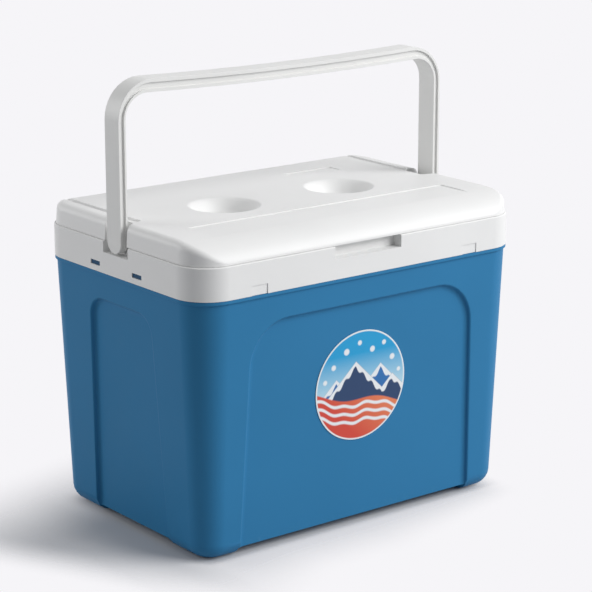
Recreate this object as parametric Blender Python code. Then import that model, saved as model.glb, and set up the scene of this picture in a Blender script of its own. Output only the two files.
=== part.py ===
"""Insulated cooler chest: tapered tub, snapped-on collar, hinged lid with cup wells, and a carrying handle.

Metres, +Z up. The chest stands on z = 0 with its front towards -Y, and the origin lies under the middle of
its outline, hinges included.
"""
import math

import bmesh
import bpy
from mathutils import Matrix, Vector

# Overall sizes
COLLAR_WIDTH = 0.400
COLLAR_DEPTH = 0.270
COLLAR_CORNER = 0.036
COLLAR_BOTTOM = 0.258
COLLAR_HEIGHT = 0.032
LID_HEIGHT = 0.0213

# Fits and walls
GAP = 0.0003
WALL = 0.0025
COLLAR_WALL = 0.003
COLLAR_EDGE = 0.00075
DECK = 0.003
SMALLEST_CORNER = 0.004

# Outer shell
SHELL_INSET = 0.002
SHELL_TAPER = 0.0106
BOTTOM_ROUND = 0.0165
FOOT_HEIGHT = 0.0075
BEAD_HEIGHT = 0.003
BEAD_INSET = 0.0002
FRONT_PANEL_MARGIN = 0.0615
FRONT_PANEL_ARC = 0.045
FRONT_PANEL_SPLAY = 0.04
SIDE_PANEL_MARGIN = 0.082
SIDE_PANEL_ARC = 0.022
SIDE_PANEL_SPLAY = 0.05
PANEL_DROP = 0.0277
PANEL_DEPTH = 0.0045
PANEL_COVE = 0.006
PANEL_RIM_ROUND = 0.0025

# Snap tabs and windows on the sides, snap tongues on the front and the back
WINDOW_WIDTH = 0.016
WINDOW_HEIGHT = 0.0046
WINDOW_SPACING = 0.071
WINDOW_RISE = 0.008
TAB_CLEARANCE = 0.0003
TAB_RECESS = 0.0008
TONGUE_WIDTH = 0.0185
TONGUE_HEIGHT = 0.0095
TONGUE_INSET = 0.070
TONGUE_RECESS = 0.0009

# Inner liner and insulation
LINER_TAPER = 0.008
LINER_CORNER = 0.030
LINER_ROUND = 0.018
FLOOR_THICKNESS = 0.0205
FLANGE = 0.0025
FLANGE_WIDTH = 0.0077
FLANGE_CLEARANCE = 0.0008

# Finger notch in the front of the collar
FINGER_WIDTH = 0.082
FINGER_DEPTH = 0.011
FINGER_HEIGHT = 0.012

# Lid
LID_INSET = 0.002
LID_DRAFT = 0.001
LID_ROUND = 0.008
LIP = 0.002
SLOPE_LENGTH = 0.048
SLOPE_KNEE = 0.040
REAR_ROUND = 0.019
WELL_SPACING = 0.144
WELL_RADIUS = 0.0375
WELL_FLOOR = 0.0068
WELL_FLOOR_RADIUS = 0.021
PLAQUE_MARGIN = 0.042
PLAQUE_LENGTH = 0.075
PLAQUE_DEPTH = 0.0009
REAR_RECESS_WIDTH = 0.062
REAR_RECESS_LENGTH = 0.017
REAR_RECESS_X = 0.094
REAR_RECESS_INSET = 0.0635
GROOVE_MARGIN = 0.0245
GROOVE_WIDTH = 0.0066
GROOVE_DEPTH = 0.0022
PLUG_CLEARANCE = 0.001
PLUG_DEPTH = 0.012
PLUG_ROUND = 0.004

# Handle and its pockets
HANDLE_RISE = 0.156
HANDLE_SAG = 0.003
HANDLE_INSET = 0.0005
LEG_WIDTH = 0.0234
LEG_THICKNESS = 0.0083
LEG_LIFT = 0.0017
BAR_THICKNESS = 0.0125
HANDLE_CORNER = 0.038
HANDLE_INNER_CORNER = 0.024
HANDLE_GROOVE_DEPTH = 0.0022
HANDLE_GROOVE_START_SHARE = 0.28
HANDLE_GROOVE_END_SHARE = 0.76
PIVOT_Y = 0.0026
PEG_RADIUS = 0.0035
PEG_RISE = 0.0055
PEG_PROUD = 0.001
POCKET_DEPTH = 0.011
LEG_CLEARANCE = 0.0015
LEG_SWING_ROOM = 0.0093
NOTCH_FRONT = 0.0085
NOTCH_SLANT = 0.009

# Rear hinges
HINGE_INSET = 0.090
KNUCKLE_RADIUS = 0.0045
LID_KNUCKLE = 0.020
COLLAR_KNUCKLE = 0.012
PIN_RADIUS = 0.002
HINGE_CLEARANCE = 0.0005
HINGE_WEB_DROP = 0.0135
HINGE_ARM_HEIGHT = 0.0108

# Front label
LABEL_RADIUS = 0.0558
LABEL_THICKNESS = 0.0004
LABEL_DROP = 0.0866

# Roundness of the meshes
CORNER_STEPS = 10
ROUND_STEPS = 6
ARC_STEPS = 10
COVE_STEPS = 4
RIM_STEPS = 3
LID_SIDE_STEPS = 3
WELL_STEPS = 40
KNUCKLE_STEPS = 16
BAR_STEPS = 8
REACH = 0.06

# Places worked out from the sizes above
HALF_X = COLLAR_WIDTH / 2
HALF_Y = COLLAR_DEPTH / 2
COLLAR_TOP = COLLAR_BOTTOM + COLLAR_HEIGHT
LID_BOTTOM = COLLAR_TOP + GAP
LID_TOP = LID_BOTTOM + LID_HEIGHT
LID_FLANGE_TOP = LID_BOTTOM + WALL
WELL_DEPTH = LID_HEIGHT - WELL_FLOOR
GROOVE_INNER = HALF_X - GROOVE_MARGIN
GROOVE_OUTER = GROOVE_INNER + GROOVE_WIDTH
FRONT_PANEL_HALF = HALF_X - FRONT_PANEL_MARGIN
SIDE_PANEL_HALF = HALF_Y - SIDE_PANEL_MARGIN
PANEL_TOP = COLLAR_BOTTOM - PANEL_DROP
FRONT_CHANNEL_HALF = FRONT_PANEL_HALF + FRONT_PANEL_SPLAY * (PANEL_TOP - FRONT_PANEL_ARC)
SIDE_CHANNEL_HALF = SIDE_PANEL_HALF + SIDE_PANEL_SPLAY * (PANEL_TOP - SIDE_PANEL_ARC)
WINDOW_Z = COLLAR_BOTTOM + WINDOW_RISE
LABEL_Z = PANEL_TOP - LABEL_DROP
POCKET_FLOOR = COLLAR_TOP - POCKET_DEPTH
POCKET_HALF = LEG_WIDTH / 2 + LEG_SWING_ROOM
PIVOT_Z = POCKET_FLOOR + PEG_RISE
LEG_BOTTOM = POCKET_FLOOR + LEG_LIFT
LEG_OUTER = HALF_X - HANDLE_INSET
LEG_INNER = LEG_OUTER - LEG_THICKNESS
HANDLE_TOP = COLLAR_TOP + HANDLE_RISE
POCKET_INNER = LEG_INNER - LEG_CLEARANCE
POCKET_BACK = POCKET_INNER - WALL
NOTCH_INNER = min(POCKET_INNER, GROOVE_OUTER) - GAP
PEG_END = POCKET_BACK - PEG_PROUD
DECK_BOTTOM = COLLAR_TOP - DECK
FLANGE_TOP = DECK_BOTTOM - GAP
FLANGE_BOTTOM = FLANGE_TOP - FLANGE
FLANGE_INSET = max(HALF_X - PEG_END, FINGER_DEPTH + WALL) + FLANGE_CLEARANCE
LINER_INSET = FLANGE_INSET + FLANGE_WIDTH
LINER_FLOOR = FOOT_HEIGHT + FLOOR_THICKNESS
PLUG_GAP = max(LINER_INSET, HALF_X - NOTCH_INNER + WALL + GAP) + PLUG_CLEARANCE - LINER_INSET
FOAM_TOP = FLANGE_BOTTOM - GAP
NECK_INSET = COLLAR_WALL + GAP
NECK_TOP = min(POCKET_FLOOR, COLLAR_TOP - FINGER_HEIGHT) - WALL - GAP
BEAD_TOP = COLLAR_BOTTOM - GAP
HINGE_Y = HALF_Y + HINGE_CLEARANCE + KNUCKLE_RADIUS
HINGE_Z = COLLAR_TOP + GAP / 2
ORIGIN_SHIFT = (HALF_Y - HINGE_Y - KNUCKLE_RADIUS) / 2

# Colours, linear
SHELL_BLUE = (0.045, 0.190, 0.370)
MOULDED_WHITE = (0.800, 0.800, 0.790)
FOAM_WHITE = (0.740, 0.740, 0.700)
PIN_STEEL = (0.550, 0.550, 0.560)
LABEL_WHITE = (0.700, 0.760, 0.820)


def clear_scene():
    """Remove whatever the opened file holds."""
    for old in list(bpy.data.objects):
        bpy.data.objects.remove(old, do_unlink=True)


def material(name, colour, roughness, metallic=0.0):
    """A Principled material."""
    made = bpy.data.materials.new(name)
    made.use_nodes = True
    shader = made.node_tree.nodes["Principled BSDF"]
    shader.inputs["Base Color"].default_value = (*colour, 1.0)
    shader.inputs["Roughness"].default_value = roughness
    shader.inputs["Metallic"].default_value = metallic
    return made


def place(name, mesh_data):
    """Put a bmesh in the scene as a named object, with its faces pointing outwards."""
    bmesh.ops.recalc_face_normals(mesh_data, faces=mesh_data.faces)
    mesh = bpy.data.meshes.new(name)
    mesh_data.to_mesh(mesh)
    mesh_data.free()
    made = bpy.data.objects.new(name, mesh)
    bpy.context.scene.collection.objects.link(made)
    return made


def finish(piece, finish_material, smooth_angle=30.0):
    """Set a piece about the origin, and give it its material and smooth shading on its round faces."""
    piece.data.transform(Matrix.Translation((0.0, ORIGIN_SHIFT, 0.0)))
    piece.data.materials.clear()
    piece.data.materials.append(finish_material)
    piece.data.shade_smooth()
    piece.data.set_sharp_from_angle(angle=math.radians(smooth_angle))


def combine(piece, tools, operation):
    """Apply a Boolean with each tool in turn, and delete the tools."""
    for tool in tools:
        boolean = piece.modifiers.new("boolean", "BOOLEAN")
        boolean.operation = operation
        boolean.solver = "EXACT"
        boolean.object = tool
        graph = bpy.context.evaluated_depsgraph_get()
        result = bpy.data.meshes.new_from_object(piece.evaluated_get(graph))
        piece.modifiers.clear()
        piece.data = result
        bpy.data.objects.remove(tool, do_unlink=True)
    return piece


def cut(piece, *tools):
    return combine(piece, tools, "DIFFERENCE")


def fuse(piece, *tools):
    return combine(piece, tools, "UNION")


def rounded_ring(half_x, half_y, radius, z):
    """Corner points of a rounded rectangle at height z, counter-clockwise from the +X side."""
    points = []
    for sign_x, sign_y, start in ((1, 1, 0), (-1, 1, 90), (-1, -1, 180), (1, -1, 270)):
        for step in range(CORNER_STEPS + 1):
            angle = math.radians(start + 90 * step / CORNER_STEPS)
            x = sign_x * (half_x - radius) + radius * math.cos(angle)
            y = sign_y * (half_y - radius) + radius * math.sin(angle)
            points.append(Vector((x, y, z)))
    return points


def collar_ring(inset, z):
    """Rounded rectangle a given inset inside the collar's outer face."""
    radius = max(COLLAR_CORNER - inset, SMALLEST_CORNER)
    return rounded_ring(HALF_X - inset, HALF_Y - inset, radius, z)


def loft(name, rings, closed=False):
    """Solid through rings of equal point count: capped at both ends, or closed on itself."""
    shape = bmesh.new()
    loops = [[shape.verts.new(point) for point in ring] for ring in rings]
    pairs = list(zip(loops, loops[1:]))
    if closed:
        pairs.append((loops[-1], loops[0]))
    for low, high in pairs:
        for i in range(len(low)):
            j = (i + 1) % len(low)
            shape.faces.new((low[i], low[j], high[j], high[i]))
    if not closed:
        shape.faces.new(loops[0])
        shape.faces.new(loops[-1])
    return place(name, shape)


def box(name, low, high):
    """Axis-aligned box between two corners."""
    shape = bmesh.new()
    bmesh.ops.create_cube(shape, size=1.0)
    size = Vector(high) - Vector(low)
    middle = (Vector(high) + Vector(low)) / 2
    bmesh.ops.scale(shape, vec=size, verts=shape.verts)
    bmesh.ops.translate(shape, vec=middle, verts=shape.verts)
    return place(name, shape)


def prism(name, outline, direction):
    """Flat outline of 3-D points, extruded along a vector."""
    shape = bmesh.new()
    face = shape.faces.new([shape.verts.new(point) for point in outline])
    moved = bmesh.ops.extrude_face_region(shape, geom=[face])
    verts = [item for item in moved["geom"] if isinstance(item, bmesh.types.BMVert)]
    bmesh.ops.translate(shape, vec=direction, verts=verts)
    return place(name, shape)


def cylinder_x(name, radius, x_low, x_high, y, z, steps=KNUCKLE_STEPS):
    """Round bar along X."""
    shape = bmesh.new()
    bmesh.ops.create_cone(shape, cap_ends=True, segments=steps, radius1=radius, radius2=radius,
                          depth=x_high - x_low)
    bmesh.ops.rotate(shape, matrix=Matrix.Rotation(math.pi / 2, 3, "Y"), verts=shape.verts)
    bmesh.ops.translate(shape, vec=((x_low + x_high) / 2, y, z), verts=shape.verts)
    return place(name, shape)


def shell_inset(z):
    """How far the shell's tapered wall lies inside the collar's face at height z."""
    return SHELL_INSET + SHELL_TAPER * (1 - z / COLLAR_BOTTOM)


def tub_rings(offset, floor, top):
    """Rings of the tapered tub, a given offset inside the shell's outer face, from floor to top."""
    round_radius = BOTTOM_ROUND - offset
    rings = []
    for step in range(ROUND_STEPS + 1):
        angle = math.pi / 2 * step / ROUND_STEPS
        z = floor + round_radius * (1 - math.cos(angle))
        inset = shell_inset(z) + offset + round_radius * (1 - math.sin(angle))
        rings.append(collar_ring(inset, z))
    rings.append(collar_ring(shell_inset(top) + offset, top))
    return rings


def panel_outline(half_width, top, arc, splay):
    """Arch outline as (sideways, up) pairs, with splayed sides that run out below the floor."""
    foot_half = half_width + splay * (top - arc + REACH)
    points = [(-foot_half, -REACH)]
    for start, centre in ((180, arc - half_width), (90, half_width - arc)):
        for step in range(ARC_STEPS + 1):
            angle = math.radians(start - 90 * step / ARC_STEPS)
            points.append((centre + arc * math.cos(angle), top - arc + arc * math.sin(angle)))
    points.append((foot_half, -REACH))
    return points


def panel_profile(offset):
    """Panel edge as (sideways, depth) pairs: cove, rounded rim and out past the wall, moved inwards."""
    points = []
    for step in range(COVE_STEPS + 1):
        angle = math.pi / 2 * step / COVE_STEPS
        rise = (PANEL_DEPTH - PANEL_RIM_ROUND) * (1 - math.cos(angle))
        points.append((PANEL_COVE * math.sin(angle), PANEL_DEPTH - rise))
    for step in range(1, RIM_STEPS):
        angle = math.pi / 2 * step / RIM_STEPS
        rise = PANEL_RIM_ROUND * math.sin(angle)
        points.append((PANEL_COVE + PANEL_RIM_ROUND * (1 - math.cos(angle)), PANEL_RIM_ROUND - rise))
    rim = PANEL_COVE + PANEL_RIM_ROUND
    points += [(rim, -GAP / 10), (rim, -PANEL_DEPTH)]
    return [(across + offset, depth + offset) for across, depth in points]


def panel_cutter(name, turns, offset):
    """Cutter of one recessed panel, on the side that lies a number of quarter turns from the front."""
    facing_x = turns % 2 == 1
    half_width = SIDE_PANEL_HALF if facing_x else FRONT_PANEL_HALF
    arc = SIDE_PANEL_ARC if facing_x else FRONT_PANEL_ARC
    splay = SIDE_PANEL_SPLAY if facing_x else FRONT_PANEL_SPLAY
    half = HALF_X if facing_x else HALF_Y
    turn = Matrix.Rotation(math.radians(90 * turns), 3, "Z")
    rings = []
    for across, depth in panel_profile(offset):
        grow = across - PANEL_COVE - PANEL_RIM_ROUND / 2
        outline = panel_outline(half_width + grow, PANEL_TOP + grow, arc + grow, splay)
        ring = []
        for sideways, up in outline:
            out = half - shell_inset(up) - depth
            ring.append(turn @ Vector((sideways, -out, up)))
        rings.append(ring)
    return loft(name, rings)


def panel_cutters(offset):
    return [panel_cutter("panel_cutter", turns, offset) for turns in range(4)]


def foot_channels():
    """Two crossing channels under the floor that leave the four corner feet."""
    made = []
    for half_x, half_y in ((FRONT_CHANNEL_HALF, HALF_Y), (HALF_X, SIDE_CHANNEL_HALF)):
        made.append(box("channel", (-half_x, -half_y, -REACH), (half_x, half_y, FOOT_HEIGHT)))
    return made


def tub_void(name, offset, top):
    """The space inside the shell, a given offset from its outer face, stepped in behind the panels."""
    bead_low = COLLAR_BOTTOM - BEAD_HEIGHT - WALL
    rings = tub_rings(offset, FOOT_HEIGHT + offset, bead_low)
    neck = NECK_INSET + offset
    rings.append(collar_ring(neck, bead_low + WALL))
    rings.append(collar_ring(neck, top))
    return cut(loft(name, rings), *panel_cutters(offset))


def window_places():
    """Middle of each snap window: side sign and y."""
    return [(side, y) for side in (-1, 1) for y in (-WINDOW_SPACING / 2, WINDOW_SPACING / 2)]


def side_box(name, side, inner, outer, y_low, y_high, z_low, z_high):
    """Box on the left (side -1) or right (side 1), between two distances from the middle."""
    low, high = sorted((side * inner, side * outer))
    return box(name, (low, y_low, z_low), (high, y_high, z_high))


def make_outer_shell():
    bead_bottom = BEAD_TOP - BEAD_HEIGHT
    rings = tub_rings(0.0, 0.0, bead_bottom - (shell_inset(bead_bottom) - BEAD_INSET) / 2)
    rings.append(collar_ring(BEAD_INSET, bead_bottom))
    rings.append(collar_ring(BEAD_INSET, BEAD_TOP))
    rings.append(collar_ring(NECK_INSET, BEAD_TOP))
    rings.append(collar_ring(NECK_INSET, NECK_TOP))
    shell = loft("outer_shell", rings)
    half_width = WINDOW_WIDTH / 2 - TAB_CLEARANCE
    half_height = WINDOW_HEIGHT / 2 - TAB_CLEARANCE
    for side, y in window_places():
        tab = side_box("tab", side, HALF_X - NECK_INSET - WALL / 2, HALF_X - TAB_RECESS,
                       y - half_width, y + half_width, WINDOW_Z - half_height, WINDOW_Z + half_height)
        fuse(shell, tab)
    cut(shell, *panel_cutters(0.0), *foot_channels())
    return cut(shell, tub_void("void", WALL, NECK_TOP + REACH))


def liner_ring(offset, z, extra=0.0):
    """Ring of the liner's inner face moved outwards by an offset; extra pulls it in at the floor round."""
    inset = LINER_INSET + LINER_TAPER * (1 - z / COLLAR_TOP) + extra - offset
    radius = max(LINER_CORNER + offset - extra, WALL)
    return rounded_ring(HALF_X - inset, HALF_Y - inset, radius, z)


def liner_rings(offset, top):
    """Rings of the liner's inner face moved outwards by an offset, from its floor to its top."""
    floor = LINER_FLOOR - offset
    round_radius = LINER_ROUND + offset
    rings = []
    for step in range(ROUND_STEPS + 1):
        angle = math.pi / 2 * step / ROUND_STEPS
        z = floor + round_radius * (1 - math.cos(angle))
        rings.append(liner_ring(offset, z, round_radius * (1 - math.sin(angle))))
    rings.append(liner_ring(offset, top))
    return rings


def flange_ring(z):
    radius = COLLAR_CORNER - FLANGE_INSET
    return rounded_ring(HALF_X - FLANGE_INSET, HALF_Y - FLANGE_INSET, radius, z)


def make_inner_liner():
    outside = liner_rings(WALL, FLANGE_BOTTOM)
    inside = liner_rings(0.0, FLANGE_TOP)
    rings = outside + [flange_ring(FLANGE_BOTTOM), flange_ring(FLANGE_TOP)] + inside[::-1]
    return loft("inner_liner", rings)


def pocket_block(side):
    """Solid round one handle pocket of the collar, before the pocket is cut out of it."""
    half = POCKET_HALF + WALL
    return side_box("pocket", side, POCKET_BACK, HALF_X - COLLAR_WALL / 2, -half, half,
                    POCKET_FLOOR - WALL, COLLAR_TOP - DECK / 2)


def pocket_cutter(side):
    return side_box("pocket_cutter", side, POCKET_INNER, HALF_X + REACH, -POCKET_HALF, POCKET_HALF,
                    POCKET_FLOOR, COLLAR_TOP + REACH)


def finger_box(name, grow, front, top):
    """Box of the finger notch, grown by a wall."""
    half = FINGER_WIDTH / 2 + grow
    return box(name, (-half, front, COLLAR_TOP - FINGER_HEIGHT - grow),
               (half, -HALF_Y + FINGER_DEPTH + grow, top))


def hinge_places():
    return (HINGE_INSET - HALF_X, HALF_X - HINGE_INSET)


def knuckle(name, x_low, x_high, web):
    """Hinge knuckle along X with a web in the YZ plane that ties it to its wall."""
    barrel = cylinder_x(name, KNUCKLE_RADIUS, x_low, x_high, HINGE_Y, HINGE_Z)
    outline = [Vector((x_low, y, z)) for y, z in web]
    return fuse(barrel, prism("web", outline, Vector((x_high - x_low, 0, 0))))


def collar_knuckles():
    """Two knuckles at each hinge, either side of the lid's knuckle."""
    root = HALF_Y - COLLAR_WALL / 2
    slant = KNUCKLE_RADIUS * math.sqrt(0.5)
    web = ((root, HINGE_Z - HINGE_WEB_DROP), (HINGE_Y + slant, HINGE_Z - slant),
           (HINGE_Y, COLLAR_TOP), (root, COLLAR_TOP - DECK / 2))
    near = LID_KNUCKLE / 2 + HINGE_CLEARANCE
    made = []
    for middle in hinge_places():
        for side in (-1, 1):
            low_x, high_x = sorted((middle + side * near, middle + side * (near + COLLAR_KNUCKLE)))
            made.append(knuckle("collar_knuckle", low_x, high_x, web))
    return made


def pin_bores():
    """Bores through all knuckles of both hinges."""
    half = LID_KNUCKLE / 2 + COLLAR_KNUCKLE + 2 * HINGE_CLEARANCE
    return [cylinder_x("bore", PIN_RADIUS + GAP, x - half, x + half, HINGE_Y, HINGE_Z)
            for x in hinge_places()]


def tongue_flats():
    """Shallow flats of the snap tongues, in the lower edge of the collar's front and back."""
    made = []
    for face in (-1, 1):
        low, high = sorted((face * (HALF_Y - TONGUE_RECESS), face * (HALF_Y + REACH)))
        for middle in (TONGUE_INSET - HALF_X, HALF_X - TONGUE_INSET):
            made.append(box("tongue_flat", (middle - TONGUE_WIDTH / 2, low, COLLAR_BOTTOM - REACH),
                            (middle + TONGUE_WIDTH / 2, high, COLLAR_BOTTOM + TONGUE_HEIGHT)))
    return made


def make_collar():
    rings = [
        collar_ring(0.0, COLLAR_BOTTOM),
        collar_ring(0.0, COLLAR_TOP - COLLAR_EDGE),
        collar_ring(COLLAR_EDGE, COLLAR_TOP),
        liner_ring(0.0, COLLAR_TOP),
        liner_ring(0.0, DECK_BOTTOM),
        collar_ring(COLLAR_WALL, DECK_BOTTOM),
        collar_ring(COLLAR_WALL, COLLAR_BOTTOM),
    ]
    collar = loft("collar", rings, closed=True)
    finger_block = finger_box("finger_block", WALL, -HALF_Y + COLLAR_WALL / 2, COLLAR_TOP - DECK / 2)
    fuse(collar, pocket_block(-1), pocket_block(1), finger_block, *collar_knuckles())
    cut(collar, pocket_cutter(-1), pocket_cutter(1))
    cut(collar, finger_box("finger_cutter", 0.0, -HALF_Y - REACH, COLLAR_TOP + REACH))
    bore = PEG_RADIUS + GAP
    for side in (-1, 1):
        low, high = sorted((side * (POCKET_BACK - WALL), side * (POCKET_INNER + WALL)))
        cut(collar, cylinder_x("peg_bore", bore, low, high, PIVOT_Y, PIVOT_Z))
    for side, y in window_places():
        cut(collar, side_box("window", side, HALF_X - COLLAR_WALL * 2, HALF_X + REACH,
                             y - WINDOW_WIDTH / 2, y + WINDOW_WIDTH / 2,
                             WINDOW_Z - WINDOW_HEIGHT / 2, WINDOW_Z + WINDOW_HEIGHT / 2))
    return cut(collar, *tongue_flats(), *pin_bores())


def make_body_foam():
    foam = tub_void("body_foam", WALL + GAP, FOAM_TOP)
    cut(foam, loft("liner_space", liner_rings(WALL + GAP, FOAM_TOP + REACH)))
    half = POCKET_HALF + WALL + GAP
    for side in (-1, 1):
        cut(foam, side_box("pocket_space", side, PEG_END - GAP, HALF_X, -half, half,
                           POCKET_FLOOR - WALL - GAP, FOAM_TOP + REACH))
    return cut(foam, finger_box("finger_space", WALL + GAP, -HALF_Y, FOAM_TOP + REACH))


def lid_ring(inset, z):
    radius = max(COLLAR_CORNER - LID_INSET - inset, WALL)
    return rounded_ring(HALF_X - LID_INSET - inset, HALF_Y - LID_INSET - inset, radius, z)


def slope_curve(offset):
    """Front slope of the lid as (y, z) points from the flat top to the lip, moved inwards by an offset."""
    end_y = -HALF_Y + LID_INSET
    start = Vector((end_y + SLOPE_LENGTH, LID_TOP))
    knee = Vector((start.x - SLOPE_KNEE, LID_TOP))
    end = Vector((end_y, LID_BOTTOM + LIP))
    points = []
    for step in range(ARC_STEPS + 1):
        t = step / ARC_STEPS
        point = start * (1 - t) ** 2 + knee * 2 * t * (1 - t) + end * t ** 2
        tangent = ((knee - start) * (1 - t) + (end - knee) * t).normalized()
        inward = Vector((-tangent.y, tangent.x))
        points.append(point + inward * offset)
    return points


def rear_curve(offset):
    """Rounded rear edge of the lid as (y, z) points from the flat top to the rear wall, moved inwards."""
    middle = Vector((HALF_Y - LID_INSET - REAR_ROUND, LID_TOP - REAR_ROUND))
    points = []
    for step in range(ARC_STEPS + 1):
        angle = math.pi / 2 * step / ARC_STEPS
        points.append(middle + Vector((math.sin(angle), math.cos(angle))) * (REAR_ROUND - offset))
    return points


def edge_cutter(name, curve, far_y):
    """Prism over the whole width that takes away what lies above a curve and beyond it."""
    last = curve[-1]
    above = LID_TOP + REACH
    outline = curve + [Vector((far_y, last.y)), Vector((far_y, above)), Vector((curve[0].x, above))]
    points = [Vector((-HALF_X - REACH, y, z)) for y, z in outline]
    return prism(name, points, Vector((2 * (HALF_X + REACH), 0, 0)))


def slope_cutter(offset):
    curve = slope_curve(offset)
    lower = curve[-1] + (curve[-1] - curve[-2]) * 2
    return edge_cutter("slope_cutter", curve + [lower], -HALF_Y - REACH)


def rear_cutter(offset):
    return edge_cutter("rear_cutter", rear_curve(offset), HALF_Y + REACH)


def well_profile(offset):
    """Half section of a cup well as (radius, z) from the rim down to the middle, grown by an offset."""
    top = LID_TOP
    floor = LID_TOP - WELL_DEPTH - offset
    rim = WELL_RADIUS + offset
    flat = WELL_FLOOR_RADIUS
    points = [(rim, top + REACH), (rim, top)]
    for step in range(1, ROUND_STEPS + 1):
        t = step / ROUND_STEPS
        ease = t * t * (3 - 2 * t)
        points.append((rim + (flat - rim) * t, top + (floor - top) * ease))
    return points


def well_cutter(x, offset):
    """Turned solid of one cup well."""
    profile = well_profile(offset)
    rings = []
    for radius, z in profile:
        ring = []
        for step in range(WELL_STEPS):
            angle = 2 * math.pi * step / WELL_STEPS
            ring.append(Vector((x + radius * math.cos(angle), radius * math.sin(angle), z)))
        rings.append(ring)
    return loft("well_cutter", rings)


def slanted_cutter(name, side, offset, inner, outer, back, low):
    """Cutter from a low height up past the lid, with the slanted front wall that groove and notch share."""
    slant = NOTCH_SLANT / GROOVE_MARGIN
    front = [-NOTCH_FRONT - offset - slant * (x - GROOVE_INNER) for x in (inner, outer)]
    corners = ((inner, front[0]), (outer, front[1]), (outer, back), (inner, back))
    outline = [Vector((side * x, y, low)) for x, y in corners]
    return prism(name, outline, Vector((0, 0, LID_TOP + REACH - low)))


def notch_cutter(side, offset):
    """Leg notch of the lid, through its whole height, grown by an offset."""
    return slanted_cutter("notch_cutter", side, offset, NOTCH_INNER - offset, HALF_X + REACH,
                          POCKET_HALF + offset, LID_BOTTOM - REACH)


def groove_cutter(side, offset):
    """Side groove of the lid, from in front of the leg notch out through the rear edge, grown by an offset."""
    return slanted_cutter("groove_cutter", side, offset, GROOVE_INNER - offset, GROOVE_OUTER + offset,
                          HALF_Y + REACH, LID_TOP - GROOVE_DEPTH - offset)


def cut_lid_details(form, offset):
    """Cut the side grooves, leg notches and cup wells, grown by an offset."""
    for side in (-1, 1):
        cut(form, groove_cutter(side, offset), notch_cutter(side, offset))
        cut(form, well_cutter(side * WELL_SPACING / 2, offset))
    return form


def lid_top_height(y):
    """Height of the lid's top surface at a place along its depth."""
    curve = rear_curve(0.0)[::-1] + slope_curve(0.0)
    for far, near in zip(curve, curve[1:]):
        if near.x <= y <= far.x:
            return far.y + (near.y - far.y) * (far.x - y) / (far.x - near.x)
    return curve[0].y if y > 0 else curve[-1].y


def lid_left_side(inset):
    """Left half of the lid's outline at an inset, rear to front, with steps where the front slope starts."""
    ring = lid_ring(inset, LID_BOTTOM)
    arc = CORNER_STEPS + 1
    rear, front = ring[arc:2 * arc], ring[2 * arc:3 * arc]
    start = slope_curve(0.0)[0].x
    steps = [start + (front[0].y - start) * step / LID_SIDE_STEPS for step in range(LID_SIDE_STEPS)]
    return rear + [Vector((front[0].x, y, LID_BOTTOM)) for y in steps] + front


def crowned_side(inset, drop):
    """The left side pulled in and lowered from the lid's top surface, by less where the lid is low."""
    points = []
    for outer, inner in zip(lid_left_side(0.0), lid_left_side(LID_ROUND)):
        share = (lid_top_height(outer.y) - LID_BOTTOM) / LID_HEIGHT
        point = outer.lerp(inner, inset * share / LID_ROUND)
        point.z = lid_top_height(point.y) - drop * share
        points.append(point)
    return points


def crowned_lid(name):
    """The lid's outer form, whose rounded upper edge follows the front slope and the rear round."""
    sides = [lid_left_side(0.0)]
    for step in range(ROUND_STEPS + 1):
        angle = math.pi / 2 * step / ROUND_STEPS
        inset = LID_DRAFT + LID_ROUND * (1 - math.cos(angle))
        sides.append(crowned_side(inset, LID_ROUND * (1 - math.sin(angle))))
    shape = bmesh.new()
    rings = []
    for side in sides:
        right = [Vector((-point.x, point.y, point.z)) for point in side]
        rings.append([[shape.verts.new(point) for point in half] for half in (side, right)])
    for low, high in zip(rings, rings[1:]):
        for under, over in zip(low, high):
            for i in range(len(under) - 1):
                shape.faces.new((under[i], under[i + 1], over[i + 1], over[i]))
        for end in (0, -1):
            shape.faces.new((low[0][end], low[1][end], high[1][end], high[0][end]))
    left, right = rings[-1]
    flat = [i for i, point in enumerate(sides[-1]) if LID_TOP - point.z < GAP / 100]
    first, last = flat[0], flat[-1]
    shape.faces.new(left[first:last + 1] + right[first:last + 1][::-1])
    for i in [*range(first), *range(last, len(left) - 1)]:
        shape.faces.new((left[i], left[i + 1], right[i + 1], right[i]))
    shape.faces.new(rings[0][0] + rings[0][1][::-1])
    return place(name, shape)


def lid_form(name, offset, bottom, *added):
    """The space inside the lid, an offset from its face, down to a bottom height, with solids added."""
    top = LID_TOP - offset
    round_radius = LID_ROUND - offset
    draft_share = (bottom - LID_BOTTOM) / (LID_HEIGHT - LID_ROUND)
    rings = [lid_ring(offset + LID_DRAFT * draft_share, bottom)]
    for step in range(ROUND_STEPS + 1):
        angle = math.pi / 2 * step / ROUND_STEPS
        inset = offset + LID_DRAFT + round_radius * (1 - math.cos(angle))
        rings.append(lid_ring(inset, top - round_radius * (1 - math.sin(angle))))
    form = fuse(loft(name, rings), *added)
    cut(form, slope_cutter(offset), rear_cutter(offset))
    return cut_lid_details(form, offset)


def lid_knuckles():
    """One knuckle at each hinge, on an arm from the lid's rear wall."""
    root = HALF_Y - LID_INSET - WALL / 2 - LID_DRAFT
    low = HINGE_Z + 2 * HINGE_CLEARANCE
    slant = KNUCKLE_RADIUS * math.sqrt(0.5)
    web = ((root, low), (HINGE_Y, low), (HINGE_Y + slant, HINGE_Z + slant),
           (root, HINGE_Z + HINGE_ARM_HEIGHT))
    half = LID_KNUCKLE / 2
    return [knuckle("lid_knuckle", x - half, x + half, web) for x in hinge_places()]


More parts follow.
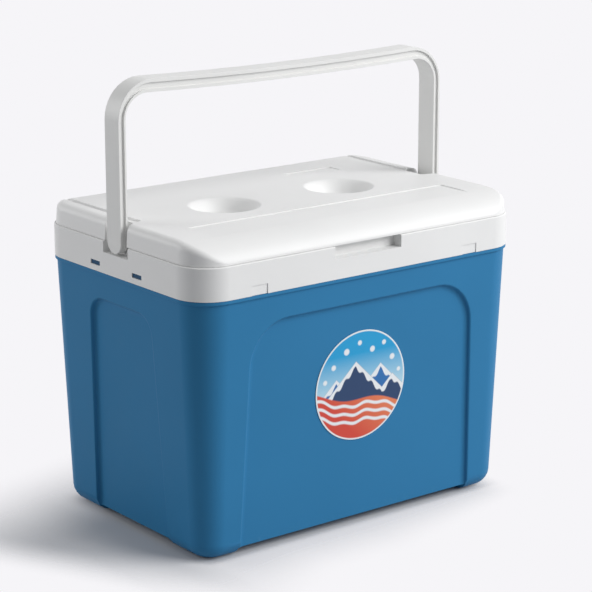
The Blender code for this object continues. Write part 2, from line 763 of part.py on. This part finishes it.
def make_lid_cover():
    cover = cut_lid_details(crowned_lid("lid_cover"), 0.0)
    recess_floor = LID_TOP - PLAQUE_DEPTH
    half = HALF_X - PLAQUE_MARGIN
    cut(cover, box("plaque", (-half, -HALF_Y, recess_floor), (half, PLAQUE_LENGTH - HALF_Y, LID_TOP + REACH)))
    recess_y = HALF_Y - REAR_RECESS_INSET
    low = (REAR_RECESS_X - REAR_RECESS_WIDTH / 2, recess_y - REAR_RECESS_LENGTH / 2, recess_floor)
    high = (REAR_RECESS_X + REAR_RECESS_WIDTH / 2, recess_y + REAR_RECESS_LENGTH / 2, LID_TOP + REACH)
    cut(cover, box("rear_recess", low, high))
    cut(cover, lid_form("lid_void", WALL, LID_BOTTOM - REACH))
    fuse(cover, *lid_knuckles())
    return cut(cover, *pin_bores())


def plug_rings(inset, bottom, round_radius, top):
    """Rings of the lid's plug, a given inset inside the liner's mouth."""
    rings = []
    for step in range(ROUND_STEPS + 1):
        angle = math.pi / 2 * step / ROUND_STEPS
        z = bottom + round_radius * (1 - math.cos(angle))
        rings.append(liner_ring(-inset, z, round_radius * (1 - math.sin(angle))))
    rings.append(liner_ring(-inset, top))
    return rings


def make_lid_liner():
    bottom = COLLAR_TOP - PLUG_DEPTH
    flange_inset = WALL + GAP
    outside = plug_rings(PLUG_GAP, bottom, PLUG_ROUND, LID_BOTTOM)
    inside = plug_rings(PLUG_GAP + WALL, bottom + WALL, PLUG_ROUND, LID_FLANGE_TOP)
    rims = [lid_ring(flange_inset, LID_BOTTOM), lid_ring(flange_inset, LID_FLANGE_TOP)]
    pan = loft("lid_liner", outside + rims + inside[::-1])
    return cut(pan, notch_cutter(-1, flange_inset), notch_cutter(1, flange_inset), slope_cutter(flange_inset))


def make_lid_foam():
    bottom = COLLAR_TOP - PLUG_DEPTH + WALL + GAP
    plug = loft("plug", plug_rings(PLUG_GAP + WALL + GAP, bottom, PLUG_ROUND, LID_FLANGE_TOP + WALL))
    return lid_form("lid_foam", WALL + GAP, LID_FLANGE_TOP + GAP, plug)


def handle_edge(thickness_x, thickness_z, corner):
    """Half outline of the U from the left foot to the middle of the bar, as (x, z) points."""
    side = -(LEG_OUTER - thickness_x)
    top = HANDLE_TOP - thickness_z
    points = [(side, LEG_BOTTOM - REACH)]
    for step in range(ARC_STEPS + 1):
        angle = math.radians(180 - 90 * step / ARC_STEPS)
        points.append((side + corner + corner * math.cos(angle), top - corner + corner * math.sin(angle)))
    start = side + corner
    for step in range(1, BAR_STEPS + 1):
        t = step / BAR_STEPS
        points.append((start * (1 - t), top - HANDLE_SAG * t * (2 - t)))
    return points


def mirrored(points):
    """Continue a half outline to the other side of x = 0."""
    return points + [(-x, z) for x, z in reversed(points[:-1])]


def handle_strip(name, start, end, y_low, y_high):
    """Part of the U between two shares of its thickness, extruded in Y."""
    outer = mirrored(handle_edge(0.0, 0.0, HANDLE_CORNER))
    inner = mirrored(handle_edge(LEG_THICKNESS, BAR_THICKNESS, HANDLE_INNER_CORNER))
    shape = bmesh.new()
    for y in (y_low, y_high):
        for near, far in zip(outer, inner):
            for share in (start, end):
                x = near[0] + (far[0] - near[0]) * share
                z = near[1] + (far[1] - near[1]) * share
                shape.verts.new((x, y, z))
    shape.verts.ensure_lookup_table()
    count = len(outer)
    corner = [[shape.verts[(side * count + i) * 2 + edge] for i in range(count)]
              for side in (0, 1) for edge in (0, 1)]
    near_out, near_in, far_out, far_in = corner
    for i in range(count - 1):
        for low, high in ((near_out, near_in), (near_in, far_in), (far_in, far_out), (far_out, near_out)):
            shape.faces.new((low[i], low[i + 1], high[i + 1], high[i]))
    for i in (0, count - 1):
        shape.faces.new((near_out[i], near_in[i], far_in[i], far_out[i]))
    return place(name, shape)


def leg_profile():
    """Side outline that rounds the lower ends of the legs, extruded over the whole width."""
    radius = LEG_WIDTH / 2
    steps = 2 * ARC_STEPS
    outline = [Vector((-HALF_X - REACH, radius, HANDLE_TOP + REACH)),
               Vector((-HALF_X - REACH, -radius, HANDLE_TOP + REACH))]
    for step in range(steps + 1):
        angle = math.pi + math.pi * step / steps
        outline.append(Vector((-HALF_X - REACH, radius * math.cos(angle),
                               LEG_BOTTOM + radius + radius * math.sin(angle))))
    return prism("leg_profile", outline, Vector((2 * (HALF_X + REACH), 0, 0)))


def make_handle():
    half = LEG_WIDTH / 2
    handle = handle_strip("handle", 0.0, 1.0, -half - REACH, half + REACH)
    combine(handle, [leg_profile()], "INTERSECT")
    floor = half - HANDLE_GROOVE_DEPTH
    for low, high in ((-half - REACH, -floor), (floor, half + REACH)):
        cut(handle, handle_strip("groove", HANDLE_GROOVE_START_SHARE, HANDLE_GROOVE_END_SHARE, low, high))
    for side in (-1, 1):
        low, high = sorted((side * PEG_END, side * (LEG_INNER + LEG_THICKNESS / 2)))
        fuse(handle, cylinder_x("peg", PEG_RADIUS, low, high, 0.0, PIVOT_Z))
    handle.data.transform(Matrix.Translation((0.0, PIVOT_Y, 0.0)))
    return handle


def make_hinge_pin(name, x):
    half = LID_KNUCKLE / 2 + HINGE_CLEARANCE + COLLAR_KNUCKLE
    return cylinder_x(name, PIN_RADIUS, x - half, x + half, HINGE_Y, HINGE_Z)


def make_front_label():
    """Thin round sticker on the floor of the front panel, leaning with the wall."""
    shape = bmesh.new()
    bmesh.ops.create_cone(shape, cap_ends=True, segments=2 * WELL_STEPS, radius1=LABEL_RADIUS,
                          radius2=LABEL_RADIUS, depth=LABEL_THICKNESS)
    lean = math.atan2(SHELL_TAPER, COLLAR_BOTTOM)
    bmesh.ops.rotate(shape, matrix=Matrix.Rotation(math.pi / 2 + lean, 3, "X"), verts=shape.verts)
    wall_y = -HALF_Y + shell_inset(LABEL_Z) + PANEL_DEPTH
    clear = (GAP + LABEL_THICKNESS / 2) / math.cos(lean)
    bmesh.ops.translate(shape, vec=(0, wall_y - clear, LABEL_Z), verts=shape.verts)
    return place("front_label", shape)


def axis_empty(name, location, pieces):
    """Empty on a joint's axis that carries the pieces that move about it."""
    empty = bpy.data.objects.new(name, None)
    empty.location = location
    bpy.context.scene.collection.objects.link(empty)
    for piece in pieces:
        piece.parent = empty
        piece.matrix_parent_inverse = Matrix.Translation(location).inverted()


def main():
    clear_scene()
    blue = material("shell_blue", SHELL_BLUE, 0.45)
    white = material("moulded_white", MOULDED_WHITE, 0.42)
    liner_white = material("liner_white", MOULDED_WHITE, 0.35)
    foam_white = material("foam_white", FOAM_WHITE, 0.9)
    steel = material("pin_steel", PIN_STEEL, 0.35, 1.0)
    label_face = material("label_face", LABEL_WHITE, 0.3)
    finish(make_outer_shell(), blue)
    finish(make_inner_liner(), liner_white)
    finish(make_collar(), white)
    finish(make_body_foam(), foam_white)
    lid_pieces = [make_lid_cover(), make_lid_liner(), make_lid_foam()]
    for piece, look in zip(lid_pieces, (white, liner_white, foam_white)):
        finish(piece, look)
    handle = make_handle()
    finish(handle, white)
    for name, x in zip(("left_hinge_pin", "right_hinge_pin"), hinge_places()):
        finish(make_hinge_pin(name, x), steel)
    finish(make_front_label(), label_face)
    axis_empty("lid_hinge_axis", (0.0, HINGE_Y + ORIGIN_SHIFT, HINGE_Z), lid_pieces)
    axis_empty("handle_pivot_axis", (0.0, PIVOT_Y + ORIGIN_SHIFT, PIVOT_Z), [handle])


main()
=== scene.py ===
"""Cooler chest in moulded plastic, under soft studio light, seen by the photograph's camera.

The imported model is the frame. The six mouldings are refined copies of their CAD solids with rounded edges,
and every piece has a procedural finish on Object coordinates, in metres.
"""
import math

import bmesh
import bpy
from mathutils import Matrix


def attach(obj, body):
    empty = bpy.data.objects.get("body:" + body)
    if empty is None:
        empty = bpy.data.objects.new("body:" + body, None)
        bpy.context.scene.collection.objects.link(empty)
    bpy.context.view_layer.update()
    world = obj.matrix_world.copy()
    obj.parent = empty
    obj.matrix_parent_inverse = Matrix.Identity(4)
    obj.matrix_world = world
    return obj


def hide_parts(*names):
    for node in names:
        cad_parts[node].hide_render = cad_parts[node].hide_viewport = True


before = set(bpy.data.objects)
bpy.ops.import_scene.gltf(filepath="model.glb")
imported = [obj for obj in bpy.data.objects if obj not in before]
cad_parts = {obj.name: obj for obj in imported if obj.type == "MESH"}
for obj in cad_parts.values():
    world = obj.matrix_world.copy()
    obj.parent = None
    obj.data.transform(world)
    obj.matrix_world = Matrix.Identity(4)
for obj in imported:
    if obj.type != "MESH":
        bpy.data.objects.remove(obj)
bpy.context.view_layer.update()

# Axes of the frame
ACROSS = 0
UPRIGHT = 2

# Refining the copies
MERGE_DISTANCE = 0.00002
SHORT_EDGE = 0.0005
FLAT_ANGLE = math.radians(0.3)
EDGE_ANGLE = math.radians(35.0)
EDGE_SEGMENTS = 3

# Finish colours, linear
SHELL_BLUE = (0.0335, 0.195, 0.394)
SHELL_SCUFF = (0.120, 0.270, 0.450)
# painted shade: darker blue for the shell above the collar's lower edge, seen as the tabs in the collar's
# windows
TAB_PAINTED_SHADE = (0.024, 0.080, 0.165)
MOULDED_WHITE = (0.800, 0.800, 0.795)
HANDLE_WHITE = (0.765, 0.765, 0.752)
LINER_WHITE = (0.780, 0.790, 0.790)
FOAM_CREAM = (0.700, 0.660, 0.520)
PIN_STEEL = (0.560, 0.560, 0.570)

# Moulded surface
SHELL_ROUGHNESS = 0.48
WHITE_ROUGHNESS = 0.45
LINER_ROUGHNESS = 0.33
WHITE_SPECULAR = 0.4
SHEEN_SCALE = 38.0
SHEEN_CHANGE = 0.1
GRAIN_SCALE = 1100.0
GRAIN_DEPTH = 0.00006
GRAIN_STRENGTH = 0.35
FLOW_SCALE = 9.0
FLOW_SPAN = (0.3, 0.7)
FLOW_DARK = 0.975
FLOW_LIGHT = 1.02

# Rub marks on the feet, and the edge of the painted shade on the tabs
RUB_HEIGHTS = (0.004, 0.018)
RUB_SCALE = 240.0
RUB_SPAN = (0.60, 0.72)
RUB_SHARE = 0.5
TAB_SHADE_EDGE = 0.001

# Foam, steel and film
FOAM_SHADE = 0.9
CELL_SCALE = 420.0
CELL_SPAN = (0.0, 0.8)
CELL_DEPTH = 0.0005
CELL_STRENGTH = 0.5
STEEL_SHADE = 0.9
POLISH_SCALE = 900.0
POLISH_LOW = 0.24
POLISH_CHANGE = 0.16
FILM_SCALE = 60.0
FILM_LOW = 0.28
FILM_CHANGE = 0.1

# Print of the label, in shares of its radius
PRINT_WHITE = (0.820, 0.850, 0.870)
PRINT_CYAN = (0.010, 0.330, 0.640)
PRINT_MIST = (0.420, 0.660, 0.800)
PRINT_BLUE = (0.020, 0.150, 0.420)
PRINT_NAVY = (0.012, 0.045, 0.130)
PRINT_RED = (0.640, 0.060, 0.035)
PRINT_ORANGE = (0.760, 0.210, 0.090)
INK_EDGE = 0.025
SKY_SPAN = (-0.05, 0.60)
SNOW = ((-0.62, 0.42, 0.035), (-0.34, 0.66, 0.045), (-0.05, 0.78, 0.030), (0.24, 0.62, 0.040),
        (0.50, 0.70, 0.030), (0.70, 0.40, 0.040), (-0.80, 0.18, 0.030), (0.86, 0.14, 0.025))
FAR_SUMMITS = ((-0.55, 0.20), (0.44, 0.34))
NEAR_SUMMITS = ((-0.12, 0.46), (0.72, 0.10))
SUMMIT_SLOPE = 0.95
CAP_DEPTH = 0.13
CAP_TEETH = 31.0
CAP_TOOTH = 0.035
SHORE_HEIGHT = -0.24
SHORE_SLOPE = 0.20
SHORE_SWELLS = 4.0
SHORE_SWELL = 0.06
SHORE_SPAN = (-1.0, 0.3)
WAVE_DROPS = (0.12, 0.27, 0.42)
WAVE_RIPPLES = 13.0
WAVE_RIPPLE = 0.022
WAVE_HALF = 0.016
RIM_SPAN = (0.93, 0.96)

# Studio
BACKDROP = (0.921, 0.913, 0.939)
AMBIENT = (0.950, 0.970, 1.000)
AMBIENT_STRENGTH = 0.20
CAMERA_PLACE = (-1.29684, -1.69077, 0.77463)
CAMERA_TILT = math.radians(75.06)
CAMERA_TURN = math.radians(-37.93)
CAMERA_LENS = 132.41
CAMERA_SENSOR = 36.0
LIGHT_AIM = (0.0, 0.0, 0.2)
SOFT_BOXES = (("key_light", (1.55, -1.95, 1.8), 2.0, 87.0),
              ("rear_fill", (-1.5, 1.7, 0.9), 1.2, 20.3),
              ("top_fill", (0.0, 0.2, 2.6), 2.0, 10.0))

# Floor, and the patch of it that shows under the chest and its shadow
FLOOR_COLOUR = (0.520, 0.526, 0.542)
FLOOR_RADIUS = 2.0
FLOOR_SIDES = 96
FLOOR_DROP = 0.0002
PATCH_FRONT = -0.115
SHADOW_BEND = -0.18
SHADOW_BEND_SLOPE = 1.05
SHADOW_TIP = -0.255
SHADOW_TIP_SLOPE = 0.95
FRONT_FADE = 0.10
FRONT_FADE_NARROWING = 0.27
FRONT_FADE_SPAN = (-1.0, 0.15)
SHADOW_FADE = 0.05
SHADOW_FADE_SPAN = (-0.20, -0.08)
CONTACT_SHARE = 0.4
CONTACT_SPAN = (-0.21, -0.17)
CONTACT_EDGE = (-0.018, -0.006)
BESIDE_SPAN = (-0.20, -0.165)
BESIDE_END = (0.085, 0.125)
REAR_SLOPE = 0.25
REAR_FADE = (0.06, 0.265)
LEFT_SHARE = 0.88
LEFT_FADE = (-0.45, -0.30)
LEFT_STEP = (-0.26, -0.20)
RIGHT_FADE = (0.15, 0.20)


class Wire:
    """A shader value that takes part in Python expressions."""

    def __init__(self, graph, socket):
        self.graph = graph
        self.socket = socket

    def maths(self, operation, first, second):
        return self.graph.node("ShaderNodeMath", {"operation": operation}, {0: first, 1: second})

    def __add__(self, other):
        return self.maths("ADD", self, other)

    def __radd__(self, other):
        return self.maths("ADD", other, self)

    def __sub__(self, other):
        return self.maths("SUBTRACT", self, other)

    def __rsub__(self, other):
        return self.maths("SUBTRACT", other, self)

    def __mul__(self, other):
        return self.maths("MULTIPLY", self, other)

    def __rmul__(self, other):
        return self.maths("MULTIPLY", other, self)

    def __truediv__(self, other):
        return self.maths("DIVIDE", self, other)

    def __rtruediv__(self, other):
        return self.maths("DIVIDE", other, self)

    def __abs__(self):
        return self.maths("ABSOLUTE", self, 0.0)

    def higher(self, other):
        return self.maths("MAXIMUM", self, other)

    def sine(self):
        return self.maths("SINE", self, 0.0)

    def rise(self, low, high, between="LINEAR"):
        """0 below low and 1 above high, straight between them or eased."""
        sockets = {"Value": self, "From Min": low, "From Max": high}
        return self.graph.node("ShaderNodeMapRange", {"interpolation_type": between}, sockets)

    def ease(self, low, high):
        return self.rise(low, high, "SMOOTHSTEP")


class Graph:
    """A node tree, and the one way in which nodes are added to it."""

    def __init__(self, tree):
        self.tree = tree

    def node(self, kind, settings, inputs, output=0):
        """Add a node: its settings first, then the values or links of its sockets."""
        made = self.tree.nodes.new(kind)
        for key, value in settings.items():
            setattr(made, key, value)
        for key, value in inputs.items():
            self.join(made.inputs[key], value)
        return Wire(self, made.outputs[output])

    def join(self, socket, value):
        """Link a wire to a socket, or set the socket to a constant."""
        if isinstance(value, Wire):
            self.tree.links.new(value.socket, socket)
        else:
            socket.default_value = value


class Finish(Graph):
    """A material and the nodes that make it."""

    def __init__(self, name, roughness=0.5, metallic=0.0, specular=0.3):
        self.material = bpy.data.materials.new(name)
        self.material.use_nodes = True
        super().__init__(self.material.node_tree)
        self.shader = self.tree.nodes["Principled BSDF"]
        self.feed("Roughness", roughness)
        self.feed("Metallic", metallic)
        self.feed("Specular IOR Level", specular)

    def feed(self, socket, value):
        """Link or set one socket of the shader."""
        self.join(self.shader.inputs[socket], value)

    def place(self):
        """Object coordinates of the point that is shaded."""
        return self.node("ShaderNodeTexCoord", {}, {}, "Object")

    def axes(self):
        """The same coordinates as three values."""
        place = self.place()
        return [self.node("ShaderNodeSeparateXYZ", {}, {0: place}, i) for i in range(3)]

    def noise(self, scale, detail=2.0, rough=0.5):
        sockets = {"Vector": self.place(), "Scale": scale, "Detail": detail, "Roughness": rough}
        return self.node("ShaderNodeTexNoise", {}, sockets)

    def blend(self, mask, under, over):
        """Colour under, covered by colour over where the mask is 1."""
        sockets = {0: mask}
        for key, colour in ((6, under), (7, over)):
            sockets[key] = colour if isinstance(colour, Wire) else (*colour, 1.0)
        return self.node("ShaderNodeMix", {"data_type": "RGBA"}, sockets, 2)

    def bump(self, height, distance, strength):
        sockets = {"Height": height, "Distance": distance, "Strength": strength}
        self.feed("Normal", self.node("ShaderNodeBump", {}, sockets))


def reach(node, axis):
    """Lowest and highest coordinate of a CAD node along an axis."""
    values = [vertex.co[axis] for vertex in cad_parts[node].data.vertices]
    return min(values), max(values)


def tinted(colour, share):
    """The colour, darker or lighter by a share."""
    return tuple(value * share for value in colour)


def moulded_grain(finish, roughness):
    """Fine spark-eroded grain and an uneven sheen."""
    sheen = finish.noise(SHEEN_SCALE)
    finish.feed("Roughness", roughness - SHEEN_CHANGE / 2 + sheen * SHEEN_CHANGE)
    grain = finish.noise(GRAIN_SCALE)
    finish.bump(grain, GRAIN_DEPTH, GRAIN_STRENGTH)


def flow_clouds(finish, colour):
    """Faint clouds that the flow of the melt leaves in a colour."""
    flow = finish.noise(FLOW_SCALE, detail=3.0)
    return finish.blend(flow.rise(*FLOW_SPAN), tinted(colour, FLOW_DARK), tinted(colour, FLOW_LIGHT))


def white_finish(name, colour, roughness):
    """White injection-moulded plastic."""
    finish = Finish(name, roughness, specular=WHITE_SPECULAR)
    finish.feed("Base Color", flow_clouds(finish, colour))
    moulded_grain(finish, roughness)
    return finish


def shell_finish():
    """Blue moulding with light rub marks low on the feet, and painted shade on the tabs behind the collar's
    windows.
    """
    finish = Finish("shell_blue_moulding", specular=0.10)
    height = finish.axes()[UPRIGHT]
    low = 1 - height.rise(*RUB_HEIGHTS)
    rubs = finish.noise(RUB_SCALE, detail=4.0, rough=0.65).rise(*RUB_SPAN) * low
    worn = finish.blend(rubs * RUB_SHARE, flow_clouds(finish, SHELL_BLUE), SHELL_SCUFF)
    collar_bottom = reach("collar", UPRIGHT)[0]
    # painted shade: the shell above the collar's lower edge, seen as the tabs in its windows, turns dark
    # blue
    tabs = height.rise(collar_bottom, collar_bottom + TAB_SHADE_EDGE)
    finish.feed("Base Color", finish.blend(tabs, worn, TAB_PAINTED_SHADE))
    moulded_grain(finish, SHELL_ROUGHNESS)
    return finish


def foam_finish():
    """Closed-cell foam: small cells and a cream tone."""
    finish = Finish("insulating_foam", roughness=0.9, specular=0.1)
    sockets = {"Vector": finish.place(), "Scale": CELL_SCALE}
    cells = finish.node("ShaderNodeTexVoronoi", {}, sockets)
    tone = finish.blend(cells.rise(*CELL_SPAN), tinted(FOAM_CREAM, FOAM_SHADE), FOAM_CREAM)
    finish.feed("Base Color", tone)
    finish.bump(cells, CELL_DEPTH, CELL_STRENGTH)
    return finish


def steel_finish():
    """Drawn wire with a fine, uneven polish."""
    finish = Finish("drawn_steel", roughness=0.3, metallic=1.0, specular=0.5)
    polish = finish.noise(POLISH_SCALE)
    finish.feed("Base Color", finish.blend(polish, tinted(PIN_STEEL, STEEL_SHADE), PIN_STEEL))
    finish.feed("Roughness", POLISH_LOW + polish * POLISH_CHANGE)
    return finish


def print_snow(finish, drawn, across, up):
    """Round flakes over the sky."""
    for flake_x, flake_z, size in SNOW:
        away_x = across - flake_x
        away_z = up - flake_z
        flake = 1 - (away_x * away_x + away_z * away_z).rise(size * size, (size + INK_EDGE) ** 2)
        drawn = finish.blend(flake, drawn, PRINT_WHITE)
    return drawn


def print_peaks(finish, drawn, across, up):
    """A far and a near range of two peaks each, with ragged caps of snow."""
    for summits, ink in ((FAR_SUMMITS, PRINT_BLUE), (NEAR_SUMMITS, PRINT_NAVY)):
        slopes = [height - abs(across - middle) * SUMMIT_SLOPE for middle, height in summits]
        crest = slopes[0].higher(slopes[1])
        peaks = (crest - up).rise(0.0, INK_EDGE)
        drawn = finish.blend(peaks, drawn, ink)
        ragged = crest - CAP_DEPTH + (across * CAP_TEETH).sine() * CAP_TOOTH
        drawn = finish.blend((up - ragged).rise(0.0, INK_EDGE) * peaks, drawn, PRINT_WHITE)
    return drawn


def print_shore(finish, drawn, across, up):
    """A red shore that slopes to the right, with white waves across it."""
    shore_line = SHORE_HEIGHT - across * SHORE_SLOPE + (across * SHORE_SWELLS).sine() * SHORE_SWELL
    shore = finish.blend((across + up).rise(*SHORE_SPAN), PRINT_RED, PRINT_ORANGE)
    drawn = finish.blend((shore_line - up).rise(0.0, INK_EDGE), drawn, shore)
    for drop in WAVE_DROPS:
        wave = abs(up - shore_line + drop - (across * WAVE_RIPPLES).sine() * WAVE_RIPPLE)
        drawn = finish.blend(1 - wave.rise(WAVE_HALF, WAVE_HALF + INK_EDGE), drawn, PRINT_WHITE)
    return drawn


def label_finish():
    """Printed film: snow over two ranges of peaks, a red shore with white waves, and a pale rim."""
    finish = Finish("printed_film", roughness=0.32, specular=0.4)
    x, _, z = finish.axes()
    left, right = reach("front_label", ACROSS)
    bottom, top = reach("front_label", UPRIGHT)
    radius = (right - left) / 2
    across = x / radius
    up = (z - (bottom + top) / 2) / radius
    drawn = finish.blend(up.rise(*SKY_SPAN), PRINT_MIST, PRINT_CYAN)
    for motif in (print_snow, print_peaks, print_shore):
        drawn = motif(finish, drawn, across, up)
    spread = across * across + up * up
    finish.feed("Base Color", finish.blend(spread.rise(*RIM_SPAN), drawn, PRINT_WHITE))
    finish.feed("Roughness", FILM_LOW + finish.noise(FILM_SCALE) * FILM_CHANGE)
    return finish


def refined_copy(name, node, body, finish, edge_width):
    """Copy of a CAD node with its corners and short edges merged, flat faces rejoined and edges rounded."""
    shape = bmesh.new()
    shape.from_mesh(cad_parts[node].data)
    for distance in (MERGE_DISTANCE, SHORT_EDGE):
        bmesh.ops.remove_doubles(shape, verts=shape.verts, dist=distance)
        bmesh.ops.dissolve_limit(shape, angle_limit=FLAT_ANGLE, verts=shape.verts, edges=shape.edges)
    mesh = bpy.data.meshes.new(name)
    shape.to_mesh(mesh)
    shape.free()
    mesh.materials.clear()
    mesh.materials.append(finish.material)
    mesh.shade_smooth()
    piece = bpy.data.objects.new(name, mesh)
    bpy.context.scene.collection.objects.link(piece)
    edges = piece.modifiers.new("moulded_edges", "BEVEL")
    edges.width = edge_width
    edges.segments = EDGE_SEGMENTS
    edges.limit_method = "ANGLE"
    edges.angle_limit = EDGE_ANGLE
    edges.use_clamp_overlap = True
    faces = piece.modifiers.new("flat_faces", "WEIGHTED_NORMAL")
    faces.keep_sharp = True
    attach(piece, body)
    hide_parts(node)


def paint(node, finish):
    """Give a CAD node that stays in the scene its finish."""
    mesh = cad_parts[node].data
    mesh.materials.clear()
    mesh.materials.append(finish.material)


def make_camera():
    """The camera that was fitted to the photograph."""
    data = bpy.data.cameras.new("photo_camera")
    data.lens = CAMERA_LENS
    data.sensor_width = CAMERA_SENSOR
    camera = bpy.data.objects.new("photo_camera", data)
    camera.location = CAMERA_PLACE
    camera.rotation_euler = (CAMERA_TILT, 0.0, CAMERA_TURN)
    bpy.context.scene.collection.objects.link(camera)
    bpy.context.scene.camera = camera


def make_lights():
    """Square soft boxes, all aimed at one point inside the chest."""
    for name, place, size, power in SOFT_BOXES:
        lamp = bpy.data.lights.new(name, "AREA")
        lamp.size = size
        lamp.energy = power
        light = bpy.data.objects.new(name, lamp)
        light.location = place
        aim = [goal - here for goal, here in zip(LIGHT_AIM, place)]
        tilt = math.atan2(math.hypot(aim[0], aim[1]), -aim[2])
        turn = math.atan2(aim[1], aim[0]) - math.pi / 2
        light.rotation_euler = (tilt, 0.0, turn)
        bpy.context.scene.collection.objects.link(light)


def seen_rays(graph):
    """1 for the rays by which the camera, gloss and glass see things, and 0 for the rest."""
    rays = [graph.node("ShaderNodeLightPath", {}, {}, "Is %s Ray" % kind)
            for kind in ("Camera", "Glossy", "Transmission")]
    return rays[0].higher(rays[1]).higher(rays[2])


def make_world():
    """Pale backdrop for what the camera, gloss and glass see, and a soft bluish light for the rest."""
    world = bpy.data.worlds.new("studio")
    world.use_nodes = True
    graph = Graph(world.node_tree)
    shown = graph.node("ShaderNodeBackground", {}, {"Color": (*BACKDROP, 1.0)})
    lit = graph.node("ShaderNodeBackground", {}, {"Color": (*AMBIENT, 1.0), "Strength": AMBIENT_STRENGTH})
    mix = graph.node("ShaderNodeMixShader", {}, {0: seen_rays(graph), 1: lit, 2: shown})
    graph.join(world.node_tree.nodes["World Output"].inputs["Surface"], mix)
    bpy.context.scene.world = world


def floor_patch(finish):
    """1 on the floor under the chest and its shadow, falling to 0 where the backdrop takes over."""
    x, y, _ = finish.axes()
    bend = (SHADOW_BEND - x).higher(0.0) * SHADOW_BEND_SLOPE
    tip = (SHADOW_TIP - x).higher(0.0) * SHADOW_TIP_SLOPE
    behind = y - PATCH_FRONT - bend - tip
    in_shadow = 1 - x.ease(*SHADOW_FADE_SPAN)
    width = FRONT_FADE - x.higher(0.0) * FRONT_FADE_NARROWING + in_shadow * SHADOW_FADE
    fade = (behind / width).ease(*FRONT_FADE_SPAN)
    contact = x.ease(*CONTACT_SPAN) * CONTACT_SHARE
    front = fade + contact * (behind.ease(*CONTACT_EDGE) - fade)
    beside = x.ease(*BESIDE_SPAN) * (1 - y.ease(*BESIDE_END))
    rear = 1 - (y - x * REAR_SLOPE).ease(*REAR_FADE) * (1 - beside)
    left = x.ease(*LEFT_FADE) * LEFT_SHARE + x.ease(*LEFT_STEP) * (1 - LEFT_SHARE)
    right = 1 - x.ease(*RIGHT_FADE)
    return front * rear * left * right


def make_floor():
    """Round pale floor that shows round the chest's base and fades into the backdrop."""
    finish = Finish("studio_floor", roughness=0.9, specular=0.1)
    finish.feed("Base Color", (*FLOOR_COLOUR, 1.0))
    finish.feed("Alpha", 1 - seen_rays(finish) * (1 - floor_patch(finish)))
    shape = bmesh.new()
    bmesh.ops.create_circle(shape, cap_ends=True, segments=FLOOR_SIDES, radius=FLOOR_RADIUS)
    mesh = bpy.data.meshes.new("studio_floor")
    shape.to_mesh(mesh)
    shape.free()
    mesh.materials.append(finish.material)
    floor = bpy.data.objects.new("studio_floor", mesh)
    floor.location.z = -FLOOR_DROP
    bpy.context.scene.collection.objects.link(floor)


def dress_chest():
    """Put the finishes on every piece of the chest."""
    white = white_finish("white_moulding", MOULDED_WHITE, WHITE_ROUGHNESS)
    grip = white_finish("handle_moulding", HANDLE_WHITE, WHITE_ROUGHNESS)
    liner = white_finish("liner_moulding", LINER_WHITE, LINER_ROUGHNESS)
    blue = shell_finish()
    refined_copy("blue_shell", "outer_shell", "chest", blue, edge_width=0.0009)
    refined_copy("white_collar", "collar", "chest", white, edge_width=0.0004)
    refined_copy("food_liner", "inner_liner", "chest", liner, edge_width=0.0006)
    refined_copy("white_lid", "lid_cover", "lid", white, edge_width=0.0008)
    refined_copy("lid_pan", "lid_liner", "lid", liner, edge_width=0.0006)
    refined_copy("carrying_handle", "handle", "handle", grip, edge_width=0.0006)
    foam = foam_finish()
    steel = steel_finish()
    paint("front_label", label_finish())
    for node in ("body_foam", "lid_foam"):
        paint(node, foam)
    for node in ("left_hinge_pin", "right_hinge_pin"):
        paint(node, steel)


bpy.context.scene.view_settings.view_transform = "Standard"
make_camera()
make_world()
make_floor()
make_lights()
dress_chest()
